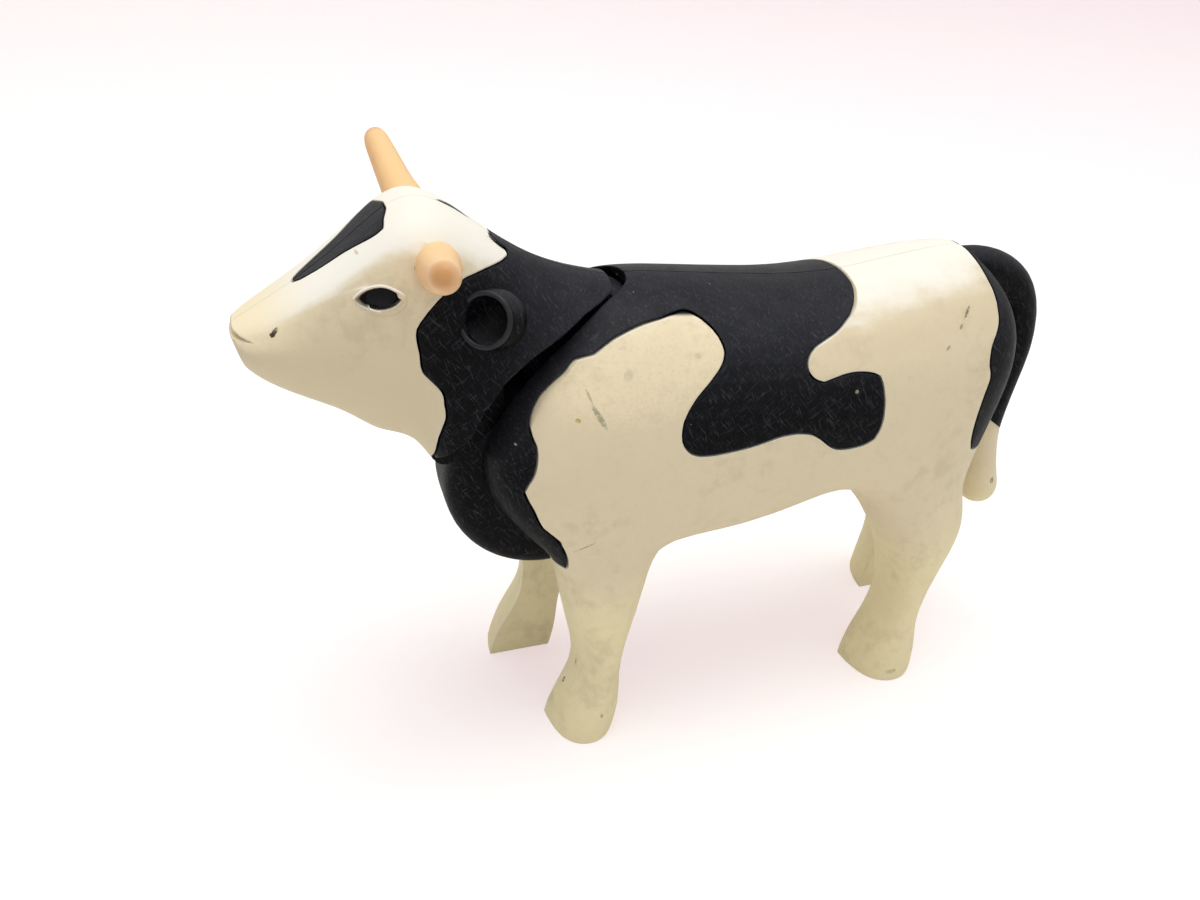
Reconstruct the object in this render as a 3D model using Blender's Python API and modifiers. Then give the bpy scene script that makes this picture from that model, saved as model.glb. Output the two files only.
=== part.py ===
"""Toy ox in two-colour moulded plastic, whose head and neck tilt down to graze.

The nose points to -X, the animal's left side to -Y and +Z is up. The origin is on the
ground under the middle of the figure. The trunk and the head are each made of a left and
a right half moulding. The black areas are a second shot of plastic, let into the cream.
The neck ends in a drum that turns on a pin between the two halves of the trunk.
"""
import bpy
import bmesh
from math import atan2, cos, sin, radians, pi
from mathutils import Matrix, Vector

# Fits between the pieces
SEAM_GAP = 0.0003
INLAY_GAP = 0.0003
SEAT_GAP = 0.0003
RUNNING_GAP = 0.0006
PIN_CLEARANCE = 0.0001
OVERRUN = 0.0040
WELD_DISTANCE = 0.000001
CENTRING_SHIFT = 0.0005

# Trunk
TRUNK_LENGTH = 0.0998
TRUNK_WIDTH = 0.0346
BACK_HEIGHT = 0.0720
BELLY_HEIGHT = 0.0335
LEG_GAP = 0.0156
INLAY_DEPTH = 0.0026
FRONT_FOOT_LENGTH = 0.0100
HIND_FOOT_LENGTH = 0.0120
FRONT_FOOT_X = -0.0170
HIND_FOOT_X = 0.0355
RIGHT_FRONT_STEP = -0.0055
RIGHT_HIND_STEP = 0.0130

# Neck joint
DRUM_WIDTH = LEG_GAP - 2 * RUNNING_GAP
DRUM_RADIUS = 0.0148
DRUM_EDGE_RADIUS = 0.0038
TONGUE_WIDTH = 0.0094
TONGUE_EDGE_RADIUS = 0.0016
TONGUE_RADIUS = 0.0294
TONGUE_END_ANGLE = 0.0
TONGUE_FRONT_ANGLE = 100.0
SLOT_WIDTH = TONGUE_WIDTH + 2 * RUNNING_GAP
THROAT_WIDTH = 0.0130
DRUM_HOUSING_ANGLE = 40.0
DRUM_MOUTH_ANGLE = 110.0
PIN_DIAMETER = 0.0050
PIN_CHAMFER = 0.0005
PIN_ENGAGEMENT = 0.0040

# Head
HEAD_WIDTH = 0.0228
PATCH_DEPTH = 0.0013
MOUTH_LENGTH = 0.0060
MOUTH_OPENING = 0.0011
MOUTH_ANGLE = 6.0

# Horns, ears and eyes of the left side
HORN_LENGTH = 0.0225
HORN_DIAMETER = 0.0053
EAR_DIAMETER = 0.0079
EAR_HOLLOW_DIAMETER = 0.00645
EAR_HOLLOW_SHIFT = 0.0019
EYE_LENGTH = 0.0057
EYE_HEIGHT = 0.0030
EYE_DEPTH = 0.0020
EYE_RECESS = 0.0001
EYE_DOME_RADIUS = 0.0046
EYELID_DIAMETER = 0.0007
EYE_TURN_ANGLE = -20.0
EYE_TILT_ANGLE = 10.0

# Tail
TAIL_DIAMETER = 0.0062
TUFT_JOINT_ANGLE = 37.0

# Steps of the drawn lines and round pieces
ARC_STEPS = 10
LINE_STEPS = 2
DRUM_STEPS = 32
DRUM_EDGE_STEPS = 4
TONGUE_EDGE_STEPS = 2
BALL_STEPS = 20
PIN_STEPS = 20
TUBE_RESOLUTION = 4
CAGE_LEVELS = 2
CORE_LEVELS = 1
SMOOTH_ANGLE = 40.0
RIM_CREASE_SHARE = 0.9
KEPT_FACES_SHARE = 0.5

# Colour and roughness by the start of a piece's name
CREAM = ((0.80, 0.74, 0.58), 0.55)
BLACK = ((0.03, 0.03, 0.035), 0.45)
TAN = ((0.85, 0.55, 0.36), 0.5)
STEEL = ((0.60, 0.60, 0.62), 0.3)
LOOKS = {"body": CREAM, "face": CREAM, "tail_tuft": CREAM, "saddle": BLACK,
         "rump_patch": BLACK, "tail": BLACK, "neck": BLACK, "forehead_patch": BLACK,
         "poll_patch": BLACK, "eye": BLACK, "horn": TAN, "pivot_pin": STEEL}

# Place of the neck's pivot: share of the trunk's length from the origin, share of the
# way from the belly to the back. The head and neck's reach and rise from the pivot are
# shares of the trunk's length and of the way from the belly to the back. The slot's end
# is a share of the trunk's length.
PIVOT_PLACE_SHARES = (-0.2204, 0.2338)
HEAD_REACH_SHARE = 0.4008
HEAD_RISE_SHARE = 1.039
SLOT_END_SHARE = -0.098
# Top-view half outline of the slot from its end forwards: share of the trunk's length,
# share of half the slot's width
SLOT_HALF_SHARES = [(0.0, 0.0), (0.001, 0.22), (0.004, 0.43), (0.009, 0.62),
                    (0.017, 0.80), (0.027, 0.94), (0.040, 1.08), (0.056, 1.22),
                    (0.076, 1.36), (0.100, 1.43), (0.190, 1.45)]

# Cross-section rows of the trunk, from the spine to the belly:
# share of half the width, share of the way from the belly to the back
TRUNK_ROW_SHARES = [(0.00, 1.00), (0.50, 0.95), (0.90, 0.80), (1.03, 0.55),
                    (1.03, 0.26), (0.95, 0.00), (0.00, -0.02)]
# Where the shoulder's front edge and the rump's back edge lie on each row:
# share of the trunk's length from the origin, share of the height
FRONT_EDGE_SHARES = [(-0.130, 1.00), (-0.150, 0.95), (-0.228, 0.78), (-0.325, 0.50),
                     (-0.328, 0.24), (-0.225, -0.04), (-0.225, -0.04)]
REAR_EDGE_SHARES = [(0.430, 1.00), (0.450, 0.96), (0.495, 0.84), (0.520, 0.62),
                    (0.484, 0.30), (0.465, 0.02), (0.465, 0.02)]
# Ribs of the cage between those two edges: place along the trunk, fullness of the
# width, and how far the back and the belly rise there as a share of the height
RIB_SHARES = [(0.00, 0.80, 0.00, 0.00), (0.10, 0.97, 0.00, 0.00),
              (0.23, 1.00, -0.025, 0.00), (0.37, 1.00, -0.05, 0.00),
              (0.53, 0.99, -0.075, 0.05), (0.67, 1.00, -0.07, 0.17),
              (0.845, 1.00, -0.02, 0.06), (1.00, 0.80, 0.00, 0.00)]
FRONT_LEG_RIB = 0
HIND_LEG_RIB = 5

# Each leg, level by level down to the sole: height as a share of the belly's,
# front edge and back edge as shares of the foot's length, outer side as a share of
# half the width, and how far the level follows the foot's step
FRONT_LEG_SHARES = [(0.76, -0.42, 0.93, 0.97, 0.25), (0.54, -0.27, 0.68, 0.94, 0.55),
                    (0.34, -0.10, 0.52, 0.92, 0.85), (0.18, -0.42, 0.60, 0.98, 1.0),
                    (0.03, -0.60, 0.50, 0.99, 1.0), (-0.05, -0.65, 0.40, 0.98, 1.0)]
HIND_LEG_SHARES = [(0.86, -0.36, 1.05, 0.99, 0.37), (0.61, -0.10, 0.60, 0.97, 0.65),
                   (0.39, -0.05, 0.36, 0.95, 0.88), (0.19, -0.34, 0.54, 0.98, 1.0),
                   (0.03, -0.46, 0.56, 0.99, 1.0), (-0.05, -0.46, 0.50, 0.98, 1.0)]
OUTER_ROUNDING_SHARES = (0.88, 1.06, 0.88)

# Cross-section rows of the face and of the neck, from the brow to the throat: share of
# half the width, share of the way down
FACE_ROW_SHARES = [(0.0, 0.00), (0.68, 0.00), (1.00, 0.16), (1.03, 0.42), (0.85, 0.70),
                   (0.50, 0.93), (0.0, 1.00)]
NECK_ROW_SHARES = [(0.0, 0.00), (0.36, 0.05), (0.74, 0.24), (1.00, 0.50), (1.05, 0.78),
                   (0.90, 0.98), (0.0, 1.00)]
# Sections from the nose to the back of the neck: top and bottom point, forward and up
# from the pivot in shares of the reach and the rise, the width, how far the section
# has turned from face to neck, and how far its sides bow forward
HEAD_SECTION_SHARES = [
    (-1.01, 0.66, -0.975, 0.52, 0.40, 0.0, 0.0),
    (-0.89, 0.73, -0.91, 0.445, 0.58, 0.0, 0.0),
    (-0.72, 0.83, -0.775, 0.365, 0.72, 0.0, 0.0),
    (-0.56, 0.96, -0.66, 0.30, 0.88, 0.0, 0.0),
    (-0.41, 1.075, -0.585, 0.21, 1.00, 0.0, 0.0),
    (-0.24, 0.965, -0.46, 0.22, 1.00, 0.4, 0.03),
    (-0.05, 0.825, -0.405, 0.105, 1.08, 1.0, 0.06),
    (0.15, 0.745, -0.33, 0.13, 1.16, 1.0, 0.04),
    (0.32, 0.71, -0.225, 0.22, 1.20, 1.0, 0.04)]

# Side-view outlines on the trunk: share of its length from the origin, share of the
# way from the belly to the back
SADDLE_SHARES = [
    (0.250, 1.20), (0.246, 1.00), (0.242, 0.925), (0.227, 0.88), (0.206, 0.842),
    (0.172, 0.80), (0.138, 0.771), (0.124, 0.735), (0.126, 0.695), (0.145, 0.668),
    (0.182, 0.692), (0.222, 0.683), (0.236, 0.64), (0.242, 0.51), (0.232, 0.42),
    (0.205, 0.393), (0.171, 0.395), (0.150, 0.436), (0.128, 0.475), (0.086, 0.483),
    (0.044, 0.457), (-0.022, 0.442), (-0.052, 0.462), (-0.066, 0.517), (-0.064, 0.592),
    (-0.046, 0.665), (-0.023, 0.717), (-0.002, 0.771), (0.001, 0.813), (-0.009, 0.86),
    (-0.029, 0.896), (-0.046, 0.906), (-0.078, 0.894), (-0.109, 0.883), (-0.145, 0.855),
    (-0.175, 0.813), (-0.198, 0.792), (-0.212, 0.756), (-0.246, 0.678), (-0.265, 0.592),
    (-0.260, 0.54), (-0.260, 0.486), (-0.266, 0.421), (-0.277, 0.364), (-0.265, 0.291),
    (-0.253, 0.208), (-0.231, 0.145), (-0.217, 0.065), (-0.211, 0.0), (-0.213, -0.035),
    (-0.235, -0.04), (-0.300, -0.06), (-0.420, 0.10), (-0.420, 1.20)]
RUMP_SHARES = [
    (0.438, 1.20), (0.438, 0.97), (0.439, 0.90), (0.439, 0.85), (0.432, 0.774),
    (0.417, 0.717), (0.414, 0.649), (0.420, 0.597), (0.411, 0.501), (0.409, 0.382),
    (0.420, 0.27), (0.460, 0.25), (0.560, 0.24), (0.660, 0.30), (0.660, 1.20)]
# Outlines of the two spaces between the legs: share of the trunk's length, share of
# the belly's height
FRONT_SPACE_SHARES = [(-0.02, 0.925), (-0.02, -0.36), (-0.50, -0.36), (-0.50, 3.0),
                      (-0.273, 3.0)]
HIND_SPACE_SHARES = [(0.18, 0.925), (0.24, 1.09), (0.40, 1.19), (0.66, 1.25),
                     (0.66, -0.30), (0.18, -0.30)]

# Side-view outlines on the head: forward and up from the pivot in shares of the reach
# and the rise. The first splits the black neck from the cream face, the second is
# cut away behind the neck's rim.
NECK_AREA_SHARES = [
    (-0.20, 1.30), (-0.18, 0.95), (-0.165, 0.885), (-0.125, 0.853), (-0.155, 0.845),
    (-0.29, 0.84), (-0.38, 0.793), (-0.443, 0.725), (-0.458, 0.683), (-0.45, 0.618),
    (-0.443, 0.548), (-0.388, 0.485), (-0.383, 0.44), (-0.38, 0.39), (-0.403, 0.315),
    (-0.413, 0.24), (-0.42, 0.18), (-0.41, 0.05), (-0.38, -0.20), (0.60, -0.20),
    (0.60, 1.30)]
NECK_RIM_SHARES = [
    (0.26, 0.76), (0.232, 0.698), (0.190, 0.684), (0.115, 0.662), (0.021, 0.616),
    (-0.096, 0.562), (-0.184, 0.502), (-0.261, 0.408), (-0.310, 0.314), (-0.343, 0.286),
    (-0.370, 0.255), (-0.45, 0.165), (-0.45, -0.10), (0.60, -0.10), (0.60, 1.30),
    (0.30, 1.30)]
# The cut stops at this outline between the shoulders, where the throat runs on into
# the drum
THROAT_SHARES = [(-0.60, -0.20), (-0.16, -0.20), (-0.16, 0.60), (-0.60, 0.60)]
# Ends of the brow and poll patches on the seam, and the corner of the mouth: forward
# and up from the pivot in shares of the reach and the rise
BROW_PATCH_END_SHARES = ((-0.802, 0.783), (-0.488, 1.002))
POLL_PATCH_END_SHARES = ((-0.333, 1.011), (-0.222, 0.944))
MOUTH_PLACE_SHARES = (-0.9325, 0.6475)
# Where the horn, ear and eye of the left side sit: the same, and the share of half the
# head's width
HORN_PLACE_SHARES = (-0.365, 0.614, 0.875)
EAR_PLACE_SHARES = (-0.200, 0.904, 0.700)
EYE_PLACE_SHARES = (-0.5575, 0.877, 0.8025)
# Half outlines of those patches: shares of the patch's length, along the seam and away
# from it
BROW_PATCH_SHARES = [(-0.50, 0.0), (-0.41, 0.105), (-0.11, 0.196), (0.03, 0.235),
                     (0.27, 0.353), (0.405, 0.366), (0.44, 0.26), (0.50, 0.10),
                     (0.50, 0.0)]
POLL_PATCH_SHARES = [(-0.50, 0.0), (-0.30, 0.22), (0.0, 0.31), (0.30, 0.22),
                     (0.50, 0.0)]
# Outline of the eye: shares of its length and of its height
EYE_SHARES = [(-0.50, -0.05), (-0.26, 0.34), (0.06, 0.50), (0.34, 0.36), (0.50, 0.05),
              (0.28, -0.36), (-0.04, -0.50), (-0.34, -0.36)]

# Where the form under the black areas ends as a share of the belly's height, and the
# direction that the ear's hollow faces
CORE_LOW_SHARE = 0.6
EAR_FACING_SHARES = (-0.57, -0.73, 0.37)

# Centre lines: horn as backward, outward and upward shares of its length, tail as a
# share of the trunk's length and of the back's height, then the share of the diameter
HORN_LINE_SHARES = [(0.0, 0.0, 0.0, 0.96), (-0.022, -0.20, 0.045, 1.00),
                    (-0.055, -0.45, 0.11, 0.93), (-0.085, -0.70, 0.195, 0.82),
                    (-0.105, -0.85, 0.25, 0.74), (-0.113, -0.91, 0.276, 0.68),
                    (-0.118, -0.955, 0.292, 0.56), (-0.122, -0.98, 0.302, 0.34),
                    (-0.123, -0.987, 0.305, 0.12)]
TAIL_LINE_SHARES = [(0.425, 0.938, 0.94), (0.470, 0.938, 1.00), (0.515, 0.921, 1.00),
                    (0.553, 0.882, 1.00), (0.576, 0.819, 0.98), (0.582, 0.736, 0.98),
                    (0.573, 0.653, 0.97), (0.565, 0.569, 0.93), (0.565, 0.500, 0.88),
                    (0.574, 0.417, 0.94), (0.579, 0.365, 1.12), (0.581, 0.337, 0.96),
                    (0.582, 0.322, 0.62), (0.582, 0.316, 0.22)]
TUFT_JOINT_SHARES = (0.571, 0.539)


def level(share):
    """Height at a share of the way from the belly to the back."""
    return BELLY_HEIGHT + share * (BACK_HEIGHT - BELLY_HEIGHT)


def trunk_outline(shares):
    return [Vector((TRUNK_LENGTH * x, level(z))) for x, z in shares]


def pivot():
    """Side-view place of the neck's pivot."""
    return trunk_outline([PIVOT_PLACE_SHARES])[0]


def space_outline(shares):
    return [Vector((TRUNK_LENGTH * x, BELLY_HEIGHT * z)) for x, z in shares]


def head_point(forward, up):
    """Side-view place on the head, in shares of its reach and rise from the pivot."""
    reach = TRUNK_LENGTH * HEAD_REACH_SHARE
    rise = (BACK_HEIGHT - BELLY_HEIGHT) * HEAD_RISE_SHARE
    return pivot() + Vector((reach * forward, rise * up))


def head_outline(shares):
    return [head_point(x, z) for x, z in shares]


def head_place(shares):
    """Place on the left side of the head, from its side view and share of the width."""
    forward, out, up = shares
    place = head_point(forward, up)
    return Vector((place.x, -HEAD_WIDTH / 2 * out, place.y))


def clear_scene():
    for obj in list(bpy.data.objects):
        bpy.data.objects.remove(obj, do_unlink=True)


def new_collection(name):
    collection = bpy.data.collections.new(name)
    bpy.context.scene.collection.children.link(collection)
    return collection


def object_from(bm, name, collection):
    """A mesh object made from a bmesh, which is freed."""
    bmesh.ops.recalc_face_normals(bm, faces=bm.faces)
    mesh = bpy.data.meshes.new(name)
    bm.to_mesh(mesh)
    bm.free()
    obj = bpy.data.objects.new(name, mesh)
    collection.objects.link(obj)
    return obj


def welded(mesh):
    """A bmesh of a mesh, with its doubled points joined."""
    bm = bmesh.new()
    bm.from_mesh(mesh)
    bmesh.ops.remove_doubles(bm, verts=bm.verts, dist=WELD_DISTANCE)
    return bm


def bake(obj):
    """Replaces an object's mesh by what its modifiers make of it."""
    graph = bpy.context.evaluated_depsgraph_get()
    mesh = bpy.data.meshes.new_from_object(obj.evaluated_get(graph))
    obj.modifiers.clear()
    obj.data = mesh
    return obj


def clean(obj):
    """Joins the doubled points that a cut can leave."""
    bm = welded(obj.data)
    bmesh.ops.dissolve_degenerate(bm, edges=bm.edges, dist=WELD_DISTANCE)
    bm.to_mesh(obj.data)
    bm.free()


def combine(target, other, operation):
    """Cuts, joins or intersects a solid with another, which stays as it is."""
    modifier = target.modifiers.new(operation.title(), "BOOLEAN")
    modifier.operation = operation
    modifier.solver = "EXACT"
    modifier.object = other
    bake(target)
    clean(target)
    return target


def copy_of(obj, name):
    made = obj.copy()
    made.data = obj.data.copy()
    made.name = name
    obj.users_collection[0].objects.link(made)
    return made


def mirrored_copy(obj, name):
    """The same piece for the animal's right side."""
    made = copy_of(obj, name)
    made.data.transform(Matrix.Scale(-1, 4, (0, 1, 0)))
    made.data.flip_normals()
    return made


def subdivide(obj, levels):
    rounded = obj.modifiers.new("Subdivision", "SUBSURF")
    rounded.levels = levels
    rounded.render_levels = levels
    return bake(obj)


def cut_flat(obj, point, normal):
    """Cuts a simple form at a plane, keeps the side of the normal and closes it."""
    bm = bmesh.new()
    bm.from_mesh(obj.data)
    geometry = bm.verts[:] + bm.edges[:] + bm.faces[:]
    bmesh.ops.bisect_plane(bm, geom=geometry, plane_co=point, plane_no=normal,
                           clear_inner=True)
    rim = [edge for edge in bm.edges if edge.is_boundary]
    bmesh.ops.holes_fill(bm, edges=rim, sides=0)
    bm.to_mesh(obj.data)
    bm.free()
    return obj


def keep_half(obj, side):
    """Cuts a form at the seam, -1 keeps the left half and 1 the right."""
    return cut_flat(obj, (0, side * SEAM_GAP / 2, 0), (0, side, 0))


def smooth_line(points, steps, closed):
    """A smooth line through points of any dimension, by Catmull-Rom spans."""
    points = [Vector(point) for point in points]
    line = []
    count = len(points)
    spans = count if closed else count - 1
    for index in range(spans):
        near = []
        for offset in (-1, 0, 1, 2):
            place = index + offset
            near.append(points[place % count] if closed
                        else points[min(max(place, 0), count - 1)])
        before, start, end, after = near
        for step in range(steps):
            t = step / steps
            line.append(0.5 * (2 * start + (end - before) * t
                               + (2 * before - 5 * start + 4 * end - after) * t ** 2
                               + (3 * start - 3 * end + after - before) * t ** 3))
    return line if closed else line + [points[-1]]


def inset_loop(loop, distance):
    """A closed outline moved inwards, or outwards by a negative distance."""
    area = sum(a.x * b.y - b.x * a.y for a, b in zip(loop, loop[1:] + loop[:1]))
    turn = 1 if area > 0 else -1
    moved = []
    for index, point in enumerate(loop):
        along = (loop[(index + 1) % len(loop)] - loop[index - 1]).normalized()
        moved.append(point + Vector((-along.y, along.x)) * distance * turn)
    return moved


def drawn_mesh(curve, name, frame, collection):
    """The closed mesh of a curve, placed by a frame."""
    drawn = bpy.data.objects.new(name + "_curve", curve)
    collection.objects.link(drawn)
    bpy.context.view_layer.update()
    graph = bpy.context.evaluated_depsgraph_get()
    mesh = bpy.data.meshes.new_from_object(drawn.evaluated_get(graph))
    mesh.transform(frame)
    bpy.data.objects.remove(drawn)
    return object_from(welded(mesh), name, collection)


def prism(name, loop, depth, frame, collection):
    """A flat outline extruded to both sides of its frame."""
    curve = bpy.data.curves.new(name, "CURVE")
    curve.dimensions = "2D"
    curve.fill_mode = "BOTH"
    curve.extrude = depth / 2
    spline = curve.splines.new("POLY")
    spline.points.add(len(loop) - 1)
    for target, point in zip(spline.points, loop):
        target.co = (point[0], point[1], 0, 1)
    spline.use_cyclic_u = True
    return drawn_mesh(curve, name, frame, collection)


def tube(name, line, diameter, closed, frame, collection):
    """A round bar along a line of points, each with its share of the diameter."""
    curve = bpy.data.curves.new(name, "CURVE")
    curve.dimensions = "3D"
    curve.bevel_depth = diameter / 2
    curve.bevel_resolution = TUBE_RESOLUTION
    curve.use_fill_caps = not closed
    spline = curve.splines.new("POLY")
    spline.points.add(len(line) - 1)
    for target, point in zip(spline.points, line):
        target.co = (point[0], point[1], point[2], 1)
        target.radius = point[3]
    spline.use_cyclic_u = closed
    return drawn_mesh(curve, name, frame, collection)


def turned(name, profile, steps, frame, collection):
    """A closed solid turned from a profile about its own Z axis, then placed."""
    bm = bmesh.new()
    verts = [bm.verts.new((radius, 0, height)) for radius, height in profile]
    for start, end in zip(verts, verts[1:]):
        bm.edges.new((start, end))
    mesh = bpy.data.meshes.new(name)
    bm.to_mesh(mesh)
    bm.free()
    obj = bpy.data.objects.new(name, mesh)
    collection.objects.link(obj)
    screw = obj.modifiers.new("Screw", "SCREW")
    screw.steps = steps
    screw.render_steps = steps
    screw.use_merge_vertices = True
    screw.merge_threshold = WELD_DISTANCE
    bake(obj)
    bm = welded(obj.data)
    bmesh.ops.recalc_face_normals(bm, faces=bm.faces)
    bm.to_mesh(obj.data)
    bm.free()
    obj.data.transform(frame)
    return obj


def ball(name, diameter, place, collection):
    bm = bmesh.new()
    bmesh.ops.create_uvsphere(bm, u_segments=BALL_STEPS, v_segments=BALL_STEPS // 2,
                              radius=diameter / 2)
    obj = object_from(bm, name, collection)
    obj.data.transform(Matrix.Translation(place))
    return obj


def side_frame(y):
    """Places a side-view outline upright at a distance from the middle plane."""
    return Matrix.Translation((0, y, 0)) @ Matrix.Rotation(pi / 2, 4, "X")


def pivot_bar(name, diameter, length, edge, edge_steps, steps, collection):
    """A round bar across the figure on the neck's pivot, with its edges rounded."""
    rim = [(diameter / 2 - edge + edge * sin(pi / 2 * step / edge_steps),
            length / 2 - edge + edge * cos(pi / 2 * step / edge_steps))
           for step in range(edge_steps + 1)]
    mirrored = [(radius, -height) for radius, height in reversed(rim)]
    profile = [(0, length / 2), *rim, *mirrored, (0, -length / 2)]
    frame = Matrix.Translation((pivot().x, 0, pivot().y)) @ Matrix.Rotation(pi / 2, 4, "X")
    return turned(name, profile, steps, frame, collection)


def end_caps(bm, grid):
    """Closes a cage's first and last section towards the middle plane."""
    for edge in (grid[0], grid[-1]):
        last_row = len(edge) - 1
        inner = [bm.verts.new((vert.co.x, 0, vert.co.z)) for vert in edge[1:-1]]
        inner = [edge[0], *inner, edge[-1]]
        for row in range(1, last_row - 1):
            bm.faces.new((edge[row], edge[row + 1], inner[row + 1], inner[row]))
        bm.faces.new((edge[0], edge[1], inner[1]))
        bm.faces.new((edge[last_row - 1], edge[last_row], inner[last_row - 1]))


def rounded_form(bm, name, levels, collection):
    """Mirrors a half cage over the middle plane and rounds it."""
    obj = object_from(bm, name, collection)
    mirror = obj.modifiers.new("Mirror", "MIRROR")
    mirror.use_axis = (False, True, False)
    mirror.merge_threshold = WELD_DISTANCE
    return subdivide(obj, levels)


def thinned(obj):
    """Drops the faces that a nearly flat surface can do without."""
    fewer = obj.modifiers.new("Decimate", "DECIMATE")
    fewer.ratio = KEPT_FACES_SHARE
    return bake(obj)


def trunk_grid(side):
    """The cage points of the trunk: ribs from front to back, rows from spine to belly."""
    half_width = TRUNK_WIDTH / 2
    grid = []
    for place, fullness, back_rise, belly_rise in RIB_SHARES:
        rib = []
        for row, (width, height) in enumerate(TRUNK_ROW_SHARES):
            front_x, front_z = FRONT_EDGE_SHARES[row]
            rear_x, rear_z = REAR_EDGE_SHARES[row]
            x = TRUNK_LENGTH * (front_x + place * (rear_x - front_x))
            if place == 0:
                height = front_z
            elif place == 1:
                height = rear_z
            height += back_rise * height + belly_rise * (1 - height)
            rib.append(Vector((x, side * half_width * width * fullness, level(height))))
        grid.append(rib)
    return grid


def add_leg(bm, roots, table, foot_x, foot_length, step, side):
    """Carries the trunk's cage down to a sole, between three ribs of the underside."""
    half_width = TRUNK_WIDTH / 2
    ring = roots
    for height, front, back, outer, follow in table:
        x_front = foot_x + foot_length * front + step * follow
        x_back = foot_x + foot_length * back + step * follow
        xs = (x_front, x_front, (x_front + x_back) / 2, x_back, x_back)
        ys = (0, *(half_width * outer * share for share in OUTER_ROUNDING_SHARES), 0)
        lower = [bm.verts.new((x, side * y, BELLY_HEIGHT * height))
                 for x, y in zip(xs, ys)]
        for index in range(len(ring) - 1):
            bm.faces.new((ring[index], ring[index + 1], lower[index + 1], lower[index]))
        ring = lower
    middle = bm.verts.new((ring[2].co.x, 0, ring[2].co.z))
    bm.faces.new((ring[0], ring[1], ring[2], middle))
    bm.faces.new((middle, ring[2], ring[3], ring[4]))


def trunk_cage(side, front_step, hind_step):
    """Half of the trunk and legs' cage, open at the middle plane."""
    bm = bmesh.new()
    grid = [[bm.verts.new(point) for point in rib] for rib in trunk_grid(side)]
    last_row = len(TRUNK_ROW_SHARES) - 1
    leg_ribs = (FRONT_LEG_RIB, FRONT_LEG_RIB + 1, HIND_LEG_RIB, HIND_LEG_RIB + 1)
    for rib in range(len(grid) - 1):
        for row in range(last_row):
            if row == last_row - 1 and rib in leg_ribs:
                continue
            bm.faces.new((grid[rib][row], grid[rib + 1][row],
                          grid[rib + 1][row + 1], grid[rib][row + 1]))
    end_caps(bm, grid)
    for first, table, foot_x, foot_length, step in (
            (FRONT_LEG_RIB, FRONT_LEG_SHARES, FRONT_FOOT_X, FRONT_FOOT_LENGTH,
             front_step),
            (HIND_LEG_RIB, HIND_LEG_SHARES, HIND_FOOT_X, HIND_FOOT_LENGTH,
             hind_step)):
        roots = [grid[first][last_row], grid[first][last_row - 1],
                 grid[first + 1][last_row - 1], grid[first + 2][last_row - 1],
                 grid[first + 2][last_row]]
        add_leg(bm, roots, table, foot_x, foot_length, step, side)
        bm.verts.remove(grid[first + 1][last_row])
    return bm


def trunk_core(name, side, front_step, hind_step, depth, collection):
    """The form under the black areas: the trunk shrunk by a depth all round."""
    core = rounded_form(trunk_cage(side, front_step, hind_step), name, CORE_LEVELS,
                        collection)
    shrunk = core.modifiers.new("Displace", "DISPLACE")
    shrunk.strength = -depth
    shrunk.mid_level = 0
    bake(core)
    return cut_flat(core, (0, 0, BELLY_HEIGHT * CORE_LOW_SHARE), (0, 0, 1))


def head_cage():
    """Half of the head and neck's cage, open at the middle plane."""
    bm = bmesh.new()
    half_width = HEAD_WIDTH / 2
    grid = []
    for top_x, top_z, low_x, low_z, width, turn, bow in HEAD_SECTION_SHARES:
        section = []
        for face_row, neck_row in zip(FACE_ROW_SHARES, NECK_ROW_SHARES):
            out = face_row[0] + turn * (neck_row[0] - face_row[0])
            down = face_row[1] + turn * (neck_row[1] - face_row[1])
            forward = bow * sin(pi * down)
            place = head_point(top_x + down * (low_x - top_x) - forward,
                               top_z + down * (low_z - top_z) + forward)
            section.append(bm.verts.new((place.x, -half_width * width * out, place.y)))
        grid.append(section)
    for fore, aft in zip(grid, grid[1:]):
        for row in range(len(fore) - 1):
            bm.faces.new((fore[row], aft[row], aft[row + 1], fore[row + 1]))
    end_caps(bm, grid)
    crease = bm.edges.layers.float.new("crease_edge")
    rear = set(grid[-1])
    for edge in bm.edges:
        if edge.verts[0] in rear and edge.verts[1] in rear:
            edge[crease] = RIM_CREASE_SHARE
    return bm


def arc(radius, start_angle, end_angle):
    """Side-view points around the pivot, angles counted up from the tail's side."""
    points = []
    for step in range(ARC_STEPS + 1):
        angle = start_angle + (end_angle - start_angle) * step / ARC_STEPS
        points.append(pivot() + radius * Vector((cos(angle), sin(angle))))
    return points


def drum_space_outline():
    """Side view of the space the drum turns in, open to the front."""
    return (arc(DRUM_RADIUS + RUNNING_GAP, radians(DRUM_MOUTH_ANGLE),
                -radians(DRUM_HOUSING_ANGLE))
            + space_outline(FRONT_SPACE_SHARES))


def slot_outline():
    """Top view of the slot, which opens at the front into the drum's space."""
    half = [(TRUNK_LENGTH * (SLOT_END_SHARE - fore), SLOT_WIDTH / 2 * out)
            for fore, out in SLOT_HALF_SHARES]
    return half + [(x, -y) for x, y in reversed(half[1:])]


def tongue_form(name, gap, collection):
    """The tongue that closes the slot when the head is down, or the space it needs."""
    form = pivot_bar(name, 2 * (TONGUE_RADIUS + gap), TONGUE_WIDTH + 2 * gap,
                     TONGUE_EDGE_RADIUS, TONGUE_EDGE_STEPS, DRUM_STEPS, collection)
    outer = TONGUE_RADIUS + OVERRUN
    outline = arc(outer, radians(TONGUE_END_ANGLE) - gap / TONGUE_RADIUS,
                  radians(TONGUE_FRONT_ANGLE)) + [pivot()]
    return combine(form, prism(name + "_area", outline, TONGUE_WIDTH + OVERRUN,
                               side_frame(0), collection), "INTERSECT")


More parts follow.
